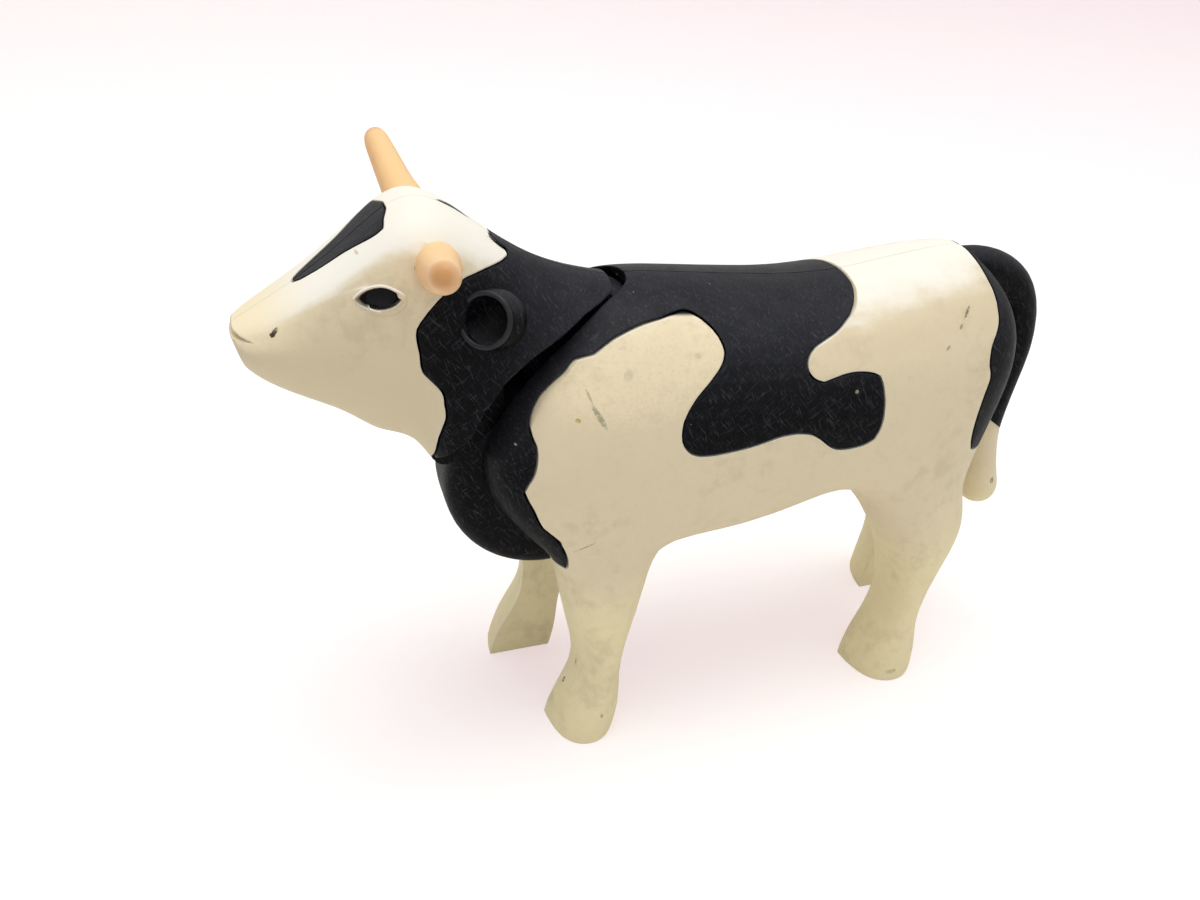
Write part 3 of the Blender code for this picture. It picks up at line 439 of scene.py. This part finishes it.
class ViewPoint(bpy.types.PropertyGroup):
    """Where the photograph was taken from."""
    place: FloatVectorProperty(name="Place", description="Camera's place",
                               subtype="TRANSLATION", unit="LENGTH",
                               default=(-0.0560, -0.1328, 0.1258))
    azimuth: FloatProperty(name="Azimuth", description="Turn about the figure",
                           subtype="ANGLE", default=radians(-18.4))
    elevation: FloatProperty(name="Elevation", description="Height above the floor",
                             subtype="ANGLE", default=radians(30.6))
    roll: FloatProperty(name="Roll", description="Tilt of the camera to its side",
                        subtype="ANGLE", default=radians(2.0))
    lens: FloatProperty(name="Lens", description="Focal length on a 36 mm sensor",
                        unit="CAMERA", default=32.4)


class OX_OT_cream_plastic(bpy.types.Operator):
    """Dresses the trunk halves, the face and the tail's tuft in cream plastic"""
    bl_idname = "ox.cream_plastic"
    bl_label = "Cream plastic"

    def execute(self, context):
        looks = context.scene.ox_plastic
        surface = moulded_surface(looks, looks.crisp_angle, seam=looks.cream_seam)
        dress(TRUNK_NODES, cream(looks, TRUNK_MARKS, True), surface)
        dress(FACE_NODES, cream(looks, FACE_MARKS, False), surface)
        tuft_joint()
        return {"FINISHED"}


def tuft_joint():
    """Fills the seam between the tail and its tuft, as the moulding does."""
    tail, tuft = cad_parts["tail"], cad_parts["tail_tuft"]
    facing = []
    for piece, other in ((tail, tuft), (tuft, tail)):
        surface = BVHTree.FromPolygons([corner.co for corner in other.data.vertices],
                                       [face.vertices for face in other.data.polygons])
        facing += [corner.co for corner in piece.data.vertices
                   if surface.find_nearest(corner.co)[3] < TUFT_REACH]
    middle = sum(facing, Vector()) / len(facing)
    mesh = bmesh.new()
    for corner in facing:
        mesh.verts.new(middle + (corner - middle) * 0.97)
    bmesh.ops.remove_doubles(mesh, verts=mesh.verts, dist=0.0001)
    hull = bmesh.ops.convex_hull(mesh, input=mesh.verts)
    bmesh.ops.delete(mesh, geom=list(set(hull["geom_interior"])), context="VERTS")
    joint = new_piece("tuft_joint", mesh, tuft.data.materials[0])
    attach(joint, "trunk")


def new_piece(name, mesh, plastic):
    """An object made from a bmesh, with its plastic."""
    data = bpy.data.meshes.new(name)
    mesh.to_mesh(data)
    mesh.free()
    data.materials.append(plastic)
    piece = bpy.data.objects.new(name, data)
    bpy.context.scene.collection.objects.link(piece)
    return piece


def cream(looks, marks, slotted):
    """Cream plastic with its yellowing, dirt and marks, painted light and painted
    shade, black inside a slot.
    """
    plastic, shader, paint, place = new_plastic("cream_plastic", 0.55, 0.3)
    edges = rounded(paint, looks.edge_radius)
    normal = paint.node("ShaderNodeNewGeometry", output="Normal")
    upward = along(paint, normal, "Z")
    height = along(paint, place, "Z")
    upward = upward + (noise(place, 190, 4, 0.65) - 0.5) * 0.20
    clouds = noise(place, 55, 4, 0.6)
    # Paler, yellower cream towards the feet, by height
    drift = height + (clouds - 0.5) * 0.02
    colour = mixed(paint, drift.step(0.036, 0.020), looks.cream, looks.cream_legs)
    # Painted light: surfaces that face up are painted the lit cream; on the face the
    # poll takes it sooner
    if slotted:
        painted_top_light = upward.step(0.76, 0.98)
    else:
        poll = along(paint, place, "X").step(-0.044, -0.034)
        painted_top_light = (upward + poll * 0.12).step(0.42, 0.66)
    colour = mixed(paint, painted_top_light, colour, looks.painted_light_cream)
    # Less dirt where the tops are painted lit, so that they stay white
    wear = (1 - painted_top_light * 0.85) * looks.wear
    if slotted:
        # Painted shade: a tan band on the rump's side, below its lit top
        rump_shade_band = upward.step(0.40, 0.66) * upward.step(0.90, 0.74)
        rump_shade_band = rump_shade_band * along(paint, place, "X").step(0.010, 0.028)
        colour = mixed(paint, rump_shade_band * 0.5, colour, looks.shade_and_grain_cream)
        # Painted highlight: a pool of lighter cream on the upper shoulder
        shoulder = mark(place, (-0.012, -0.014, 0.066), (0.017, 0.012, 0.010), 0)
        colour = mixed(paint, shoulder * 0.55, colour, looks.cream_highlight)
    else:
        # Painted shade on the face's sides that face down
        colour = mixed(paint, upward.step(0.25, -0.30) * 0.75, colour,
                       looks.shade_and_grain_cream)
        # Painted highlight on the nose, where it faces up
        nose = along(paint, place, "X").step(-0.050, -0.060)
        colour = mixed(paint, nose * upward.step(-0.25, 0.15) * 0.95, colour,
                       looks.cream_highlight)
    colour = mixed(paint, clouds.step(0.35, 0.70) * 0.32 * wear, colour,
                   [0.88 * part for part in looks.cream])
    handled = noise(place, 420, 5, 0.65) * noise(place, 90, 2)
    colour = mixed(paint, handled.step(0.24, 0.42) * 0.30 * wear, colour,
                   looks.grime)
    scratched = noise(stretched(place, (1, 1, 7), (0, 25, 0)), 600, 4, 0.7)
    colour = mixed(paint, scratched.step(0.62, 0.76) * 0.35 * wear, colour,
                   looks.grime)
    grain = noise(place, 700, 5, 0.7).step(0.44, 0.66)
    colour = mixed(paint, grain * 0.22 * wear, colour, looks.shade_and_grain_cream)
    specks = speckles(place, 240, 0.09, 0.10)
    colour = mixed(paint, specks * 0.35 * looks.wear, colour, looks.smear)
    for middle, halves, turn, shade, strength in marks:
        colour = mixed(paint, mark(place, middle, halves, turn) * strength, colour,
                       getattr(looks, shade))
    # Painted highlight: a near-white line along the sharp moulded edges of the cream
    colour = mixed(paint, sharp_edge(paint, edges) * 0.7, colour, looks.painted_light_cream)
    # Painted light: the shade deep in the gaps between pieces is painted over with the
    # lit cream
    colour = mixed(paint, crease(paint, 0.0006) * 0.6, colour, looks.painted_light_cream)
    if slotted:
        colour = mixed(paint, slot_walls(paint, place), colour, looks.black)
    fine = noise(place, 1500, 3)
    feed(shader, Base_Color=colour, Roughness=0.50 + fine * 0.14,
         Normal=bump(paint, fine, 0.00003, 0.5, edges))
    return plastic


def slot_walls(paint, place):
    """1 on the walls of the slot that the neck turns in."""
    sideways = paint.node("ShaderNodeMath", {"operation": "ABSOLUTE"},
                          {0: along(paint, place, "Y")})
    return (sideways.step(0.0096, 0.0090) * along(paint, place, "X").step(0.001, 0)
            * along(paint, place, "Z").step(0.0305, 0.0320))


class OX_OT_black_plastic(bpy.types.Operator):
    """Dresses the saddle, rump, neck, tail and patches in black plastic"""
    bl_idname = "ox.black_plastic"
    bl_label = "Black plastic"

    def execute(self, context):
        looks = context.scene.ox_plastic
        plastic, shader, paint, place = new_plastic("black_plastic", 0.42, 0.07)
        edges = rounded(paint, looks.edge_radius)
        normal = paint.node("ShaderNodeNewGeometry", output="Normal")
        upward = along(paint, normal, "Z")
        brushed = noise(stretched(place, (1, 3, 3), (0, 35, 0)), 520, 5, 0.75)
        rubbed = noise(place, 110, 3)
        colour = mixed(paint, brushed.step(0.46, 0.70) * rubbed * 0.3 * looks.wear,
                       looks.black, looks.scuffed)
        colour = mixed(paint, sharp_edge(paint, edges) * 0.45 * looks.wear, colour,
                       looks.scuffed)
        # Dust and a painted sheen on the black where it faces up
        dust_and_sheen = upward.step(0.05, 0.92) * (0.25 + noise(place, 300, 5, 0.7) * 0.8)
        colour = mixed(paint, dust_and_sheen, colour, looks.dust_and_sheen)
        for turn, scale in HAIRS:
            hairs = noise(stretched(place, (1, 3, 16), (0, turn, 0)), scale, 3, 0.6)
            colour = mixed(paint, hairs.step(0.60, 0.68) * 0.55 * looks.wear, colour,
                           [2.2 * part for part in looks.dust_and_sheen])
        lint = speckles(place, 420, 0.07, 0.11)
        colour = mixed(paint, lint * 0.5 * looks.wear, colour, looks.cream)
        for middle, halves, angle, shade, strength in BLACK_MARKS:
            colour = mixed(paint, mark(place, middle, halves, angle) * strength, colour,
                           getattr(looks, shade))
        grain = noise(place, 1600, 3)
        feed(shader, Base_Color=colour,
             Roughness=0.34 + rubbed * 0.16 + grain * 0.06,
             Normal=bump(paint, grain, 0.00004, 0.5, edges))
        surface = moulded_surface(looks, looks.crisp_angle, seam=looks.black_seam)
        dress(BLACK_NODES, plastic, surface)
        return {"FINISHED"}


def bead(centres, heights, width, thickness):
    """A closed bead along a loop of points, with its top along the heights."""
    mesh = bmesh.new()
    count, sides = len(centres), BEAD_SIDES
    rows = []
    for index, (centre, height) in enumerate(zip(centres, heights)):
        ahead = (centres[(index + 1) % count] - centres[index - 1]).normalized()
        across = ahead.cross(height).normalized()
        rows.append([mesh.verts.new(
            centre + across * width / 2 * sin(2 * pi * side / sides)
            + height * thickness * cos(2 * pi * side / sides))
            for side in range(sides)])
    for index in range(count):
        row, behind = rows[index], rows[index - 1]
        for side in range(sides):
            face = mesh.faces.new((row[side], row[side - 1], behind[side - 1],
                                   behind[side]))
            face.smooth = True
    bmesh.ops.recalc_face_normals(mesh, faces=mesh.faces)
    return mesh


class OX_OT_ear_rims(bpy.types.Operator):
    """Lays the thin moulded lip round the mouth of each ear"""
    bl_idname = "ox.ear_rims"
    bl_label = "Ear rims"

    def execute(self, context):
        looks = context.scene.ox_plastic
        plastic, shader, paint, place = new_plastic("ear_rim_plastic", 0.36, 0.25)
        # Painted highlight: the rims are painted a lighter black to show light arcs on
        # the ear's lip
        rub = noise(place, 500, 4, 0.7)
        feed(shader, Base_Color=mixed(paint, rub, looks.black, looks.dust_and_sheen),
             Roughness=0.30 + rub * 0.16)
        for name, side in (("ear_rim_left", 1), ("ear_rim_right", -1)):
            mirror = Vector((1, side, 1))
            facing = (Vector(EAR_FACING) * mirror).normalized()
            middle = Vector(EAR_PLACE) * mirror + facing * EAR_RIM_HEIGHT
            first = facing.cross(Vector((0, 0, 1))).normalized()
            second = facing.cross(first)
            angles = [2 * pi * step / EAR_RIM_STEPS for step in range(EAR_RIM_STEPS)]
            around = [first * cos(angle) + second * sin(angle) for angle in angles]
            centres = [middle + way * EAR_RIM_RADIUS for way in around]
            heights = [(facing + way * 0.5).normalized() for way in around]
            mesh = bead(centres, heights, EAR_RIM_WIDTH, EAR_RIM_THICKNESS)
            rim = new_piece(name, mesh, plastic)
            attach(rim, "head")
        return {"FINISHED"}


class OX_OT_eye_rims(bpy.types.Operator):
    """Lays the raised lid round each eye, on the face"""
    bl_idname = "ox.eye_rims"
    bl_label = "Eye rims"

    def execute(self, context):
        for side in ("left", "right"):
            eye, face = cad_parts["eye_" + side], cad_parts["face_" + side]
            out = -1 if side == "left" else 1
            flat = [(corner.co.x, corner.co.z) for corner in eye.data.vertices]
            hull = [Vector(flat[index]) for index in convex_hull_2d(flat)]
            middle = (Vector(map(max, zip(*hull))) + Vector(map(min, zip(*hull)))) / 2
            surface = BVHTree.FromPolygons(
                [corner.co for corner in face.data.vertices],
                [corners.vertices for corners in face.data.polygons])
            centres, heights = [], []
            for spot in even_loop(hull, EYE_RIM_STEPS):
                away = (spot - middle).normalized() * EYE_RIM_GAP
                start = Vector((spot.x + away.x, out * 0.03, spot.y + away.y))
                place, normal = surface.ray_cast(start, Vector((0, -out, 0)))[:2]
                centres.append(place)
                heights.append(normal)
            for _ in range(6):
                heights = [(heights[index - 1] + heights[index]
                            + heights[(index + 1) % len(heights)]).normalized()
                           for index in range(len(heights))]
            name = "eye_rim_" + side
            mesh = bead(centres, heights, EYE_RIM_WIDTH, EYE_RIM_THICKNESS)
            rim = new_piece(name, mesh, face.data.materials[0])
            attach(rim, "head")
        return {"FINISHED"}


def even_loop(corners, count):
    """Evenly spaced points on a closed outline, eased round its corners."""
    ends = corners[1:] + corners[:1]
    lengths = [(end - start).length for start, end in zip(corners, ends)]
    points = []
    for step in range(count):
        left = sum(lengths) * step / count
        for start, end, length in zip(corners, ends, lengths):
            if left <= length:
                points.append(start.lerp(end, left / length))
                break
            left -= length
    for _ in range(12):
        points = [(points[index - 1] + 2 * points[index]
                   + points[(index + 1) % count]) / 4 for index in range(count)]
    return points


class OX_OT_horns(bpy.types.Operator):
    """Dresses both horns in tan plastic"""
    bl_idname = "ox.horns"
    bl_label = "Horns"

    def execute(self, context):
        looks = context.scene.ox_plastic
        plastic, shader, paint, place = new_plastic("horn_plastic", 0.48, 0.4)
        shader.inputs["Subsurface Weight"].default_value = 0.12
        shader.inputs["Subsurface Radius"].default_value = (0.003, 0.0012, 0.0006)
        shader.inputs["Subsurface Scale"].default_value = 1.0
        edges = rounded(paint, looks.edge_radius)
        apart = {axis: along(paint, place, axis) for axis in "XYZ"}
        apart["Y"] = paint.node("ShaderNodeMath", {"operation": "ABSOLUTE"},
                                {0: apart["Y"]})
        folded = paint.node("ShaderNodeCombineXYZ", None, apart)
        clouds = noise(place, 240, 4, 0.6)
        colour = mixed(paint, clouds.step(0.35, 0.70) * 0.4, looks.horn,
                       [0.84 * part for part in looks.horn])
        normal = paint.node("ShaderNodeNewGeometry", output="Normal")
        upward = along(paint, normal, "Z")
        # Painted light: the horn's sides that face up are painted a lighter tan
        colour = mixed(paint, upward.step(0.35, 0.95) * 0.7, colour, looks.horn_painted_light)
        tip = apart["Y"].step(0.0262, 0.0272)
        colour = mixed(paint, tip * 0.75, colour, looks.horn_tip)
        rub = noise(place, 900, 4, 0.7)
        colour = mixed(paint, rub.step(0.60, 0.75) * 0.3 * looks.wear, colour,
                       looks.cream)
        from_tip = paint.node("ShaderNodeVectorMath", {"operation": "DISTANCE"},
                              {0: folded, 1: HORN_TIP}, "Value")
        worn = (from_tip + rub * 0.0006).step(0.0032, 0.0008)
        colour = mixed(paint, worn * 0.85, colour, looks.horn_worn)
        feed(shader, Base_Color=colour, Roughness=0.42 + rub * 0.14,
             Normal=bump(paint, rub, 0.00003, 0.5, edges))
        surface = moulded_surface(looks, looks.tip_angle, seat=looks.horn_seat)
        dress(HORN_NODES, plastic, surface)
        return {"FINISHED"}


class OX_OT_eyes(bpy.types.Operator):
    """Dresses both eyes in glossy black"""
    bl_idname = "ox.eyes"
    bl_label = "Eyes"

    def execute(self, context):
        looks = context.scene.ox_plastic
        plastic, shader, paint, place = new_plastic("eye_gloss", 0.18, 0.12)
        shader.inputs["Coat Weight"].default_value = 0.06
        shader.inputs["Coat Roughness"].default_value = 0.12
        dust = noise(place, 1800, 3)
        colour = mixed(paint, dust.step(0.55, 0.80) * 0.2 * looks.wear, looks.eye,
                       looks.scuffed)
        feed(shader, Base_Color=colour, Roughness=0.14 + dust * 0.12)
        dress(EYE_NODES, plastic, moulded_surface(looks, looks.crisp_angle))
        return {"FINISHED"}


class OX_OT_pivot_pin(bpy.types.Operator):
    """Dresses the hidden pin of the neck joint in steel"""
    bl_idname = "ox.pivot_pin"
    bl_label = "Pivot pin"

    def execute(self, context):
        steel, shader, paint, place = new_plastic("steel_pin", 0.3, 0.5)
        shader.inputs["Metallic"].default_value = 1.0
        turned = noise(stretched(place, (1, 20, 1)), 300, 2)
        feed(shader, Base_Color=mixed(paint, turned, (0.52, 0.52, 0.54),
                                      (0.66, 0.66, 0.68)),
             Roughness=0.24 + turned * 0.12)
        looks = context.scene.ox_plastic
        dress(("pivot_pin",), steel, moulded_surface(looks, looks.crisp_angle))
        return {"FINISHED"}


class OX_OT_stage(bpy.types.Operator):
    """Lays the pale floor and wall, and hangs the lamps"""
    bl_idname = "ox.stage"
    bl_label = "Stage"

    def execute(self, context):
        studio = context.scene.ox_studio
        half = studio.floor_size / 2
        far = studio.wall_distance
        corners = [(-half, -half, 0), (half, -half, 0), (half, far, 0), (-half, far, 0),
                   (-half, far, half), (half, far, half)]
        mesh = bpy.data.meshes.new("studio_floor")
        mesh.from_pydata(corners, [], [(0, 1, 2, 3), (3, 2, 5, 4)])
        floor = bpy.data.objects.new("studio_floor", mesh)
        context.scene.collection.objects.link(floor)
        mesh.materials.append(paper(studio))
        world = bpy.data.worlds.new("studio")
        world.use_nodes = True
        backdrop = world.node_tree.nodes["Background"]
        backdrop.inputs["Color"].default_value = (1.0, 0.985, 0.97, 1)
        backdrop.inputs["Strength"].default_value = studio.fill
        context.scene.world = world
        lamp("key_light", (0.02, -0.02, 0.75), (0.0, 0.0, 0.03), studio.key_size,
             studio.key_power, (1.0, 0.99, 0.97))
        context.scene.view_settings.view_transform = "Standard"
        return {"FINISHED"}


def paper(studio):
    """White floor that keeps the figure's shadow and looks white to the camera."""
    material = bpy.data.materials.new("white_paper")
    material.use_nodes = True
    tree = material.node_tree
    tree.nodes.remove(tree.nodes["Principled BSDF"])
    paint = Value(tree)
    place = paint.node("ShaderNodeTexCoord", output="Object")
    beyond = paint.node("ShaderNodeVectorMath", {"operation": "DOT_PRODUCT"},
                        {0: place, 1: WALL_WAY}, "Value")
    right = along(paint, place, "X")
    wall = beyond.step(WALL_FOOT, WALL_FOOT + 0.0006)
    tint = wall * (0.10 + right.step(-0.15, 0.35) * 0.9)
    rays = paint.node("ShaderNodeLightPath", output="Is Camera Ray")
    matt = paint.node("ShaderNodeBsdfDiffuse", None, {"Color": (0.93, 0.92, 0.90, 1)})
    seen = paint.node("ShaderNodeBsdfDiffuse", None, {"Color": (*studio.shown, 1)})
    glow = paint.node("ShaderNodeEmission", None,
                      {"Color": mixed(paint, tint, studio.glow, studio.far_glow)})
    lit = paint.node("ShaderNodeAddShader", None, {0: seen, 1: glow})
    shown = paint.node("ShaderNodeMixShader", None, {0: rays, 1: matt, 2: lit})
    tree.links.new(shown.socket, tree.nodes["Material Output"].inputs["Surface"])
    return material


def lamp(name, place, aim, size, power, colour):
    """A soft square lamp that points at a place."""
    light = bpy.data.lights.new(name, "AREA")
    light.size = size
    light.energy = power
    light.color = colour
    holder = bpy.data.objects.new(name, light)
    bpy.context.scene.collection.objects.link(holder)
    holder.location = place
    holder.rotation_euler = (Vector(aim) - Vector(place)).to_track_quat(
        "-Z", "Y").to_euler()


class OX_OT_camera(bpy.types.Operator):
    """Sets the camera where the photograph was taken from"""
    bl_idname = "ox.camera"
    bl_label = "Camera"

    def execute(self, context):
        point = context.scene.ox_view
        azimuth, elevation, roll = point.azimuth, point.elevation, point.roll
        back = Vector((sin(azimuth) * cos(elevation), -cos(azimuth) * cos(elevation),
                       sin(elevation)))
        right = (-back).cross(Vector((0, 0, 1))).normalized()
        up = back.cross(right)
        across = right * cos(roll) + up * sin(roll)
        upward = up * cos(roll) - right * sin(roll)
        camera = bpy.data.cameras.new("photo_view")
        camera.lens = point.lens
        camera.clip_start = 0.001
        holder = bpy.data.objects.new("photo_view", camera)
        context.scene.collection.objects.link(holder)
        turn = Matrix((across, upward, back)).transposed().to_4x4()
        holder.matrix_world = Matrix.Translation(point.place) @ turn
        context.scene.camera = holder
        return {"FINISHED"}


class OX_PT_looks(bpy.types.Panel):
    """Lists the looks of the toy ox in the sidebar"""
    bl_idname = "OX_PT_looks"
    bl_label = "Toy ox"
    bl_space_type = "VIEW_3D"
    bl_region_type = "UI"
    bl_category = "Toy ox"

    def draw(self, context):
        scene = context.scene
        for group in (scene.ox_plastic, scene.ox_studio, scene.ox_view):
            box = self.layout.box()
            for name in group.__annotations__:
                box.prop(group, name)
        for operator in OPERATORS:
            self.layout.operator(operator.bl_idname)


GROUPS = {"ox_plastic": PlasticLooks, "ox_studio": StudioLooks, "ox_view": ViewPoint}
OPERATORS = (OX_OT_cream_plastic, OX_OT_black_plastic, OX_OT_ear_rims, OX_OT_eye_rims,
             OX_OT_horns, OX_OT_eyes, OX_OT_pivot_pin, OX_OT_stage, OX_OT_camera)


def register():
    for name, group in GROUPS.items():
        bpy.utils.register_class(group)
        setattr(bpy.types.Scene, name, PointerProperty(type=group))
    for operator in OPERATORS:
        bpy.utils.register_class(operator)
    bpy.utils.register_class(OX_PT_looks)


def unregister():
    bpy.utils.unregister_class(OX_PT_looks)
    for operator in reversed(OPERATORS):
        bpy.utils.unregister_class(operator)
    for name, group in GROUPS.items():
        delattr(bpy.types.Scene, name)
        bpy.utils.unregister_class(group)


def main():
    register()
    bpy.ops.ox.cream_plastic()
    bpy.ops.ox.black_plastic()
    bpy.ops.ox.ear_rims()
    bpy.ops.ox.eye_rims()
    bpy.ops.ox.horns()
    bpy.ops.ox.eyes()
    bpy.ops.ox.pivot_pin()
    bpy.ops.ox.stage()
    bpy.ops.ox.camera()


if __name__ == "__main__":
    main()
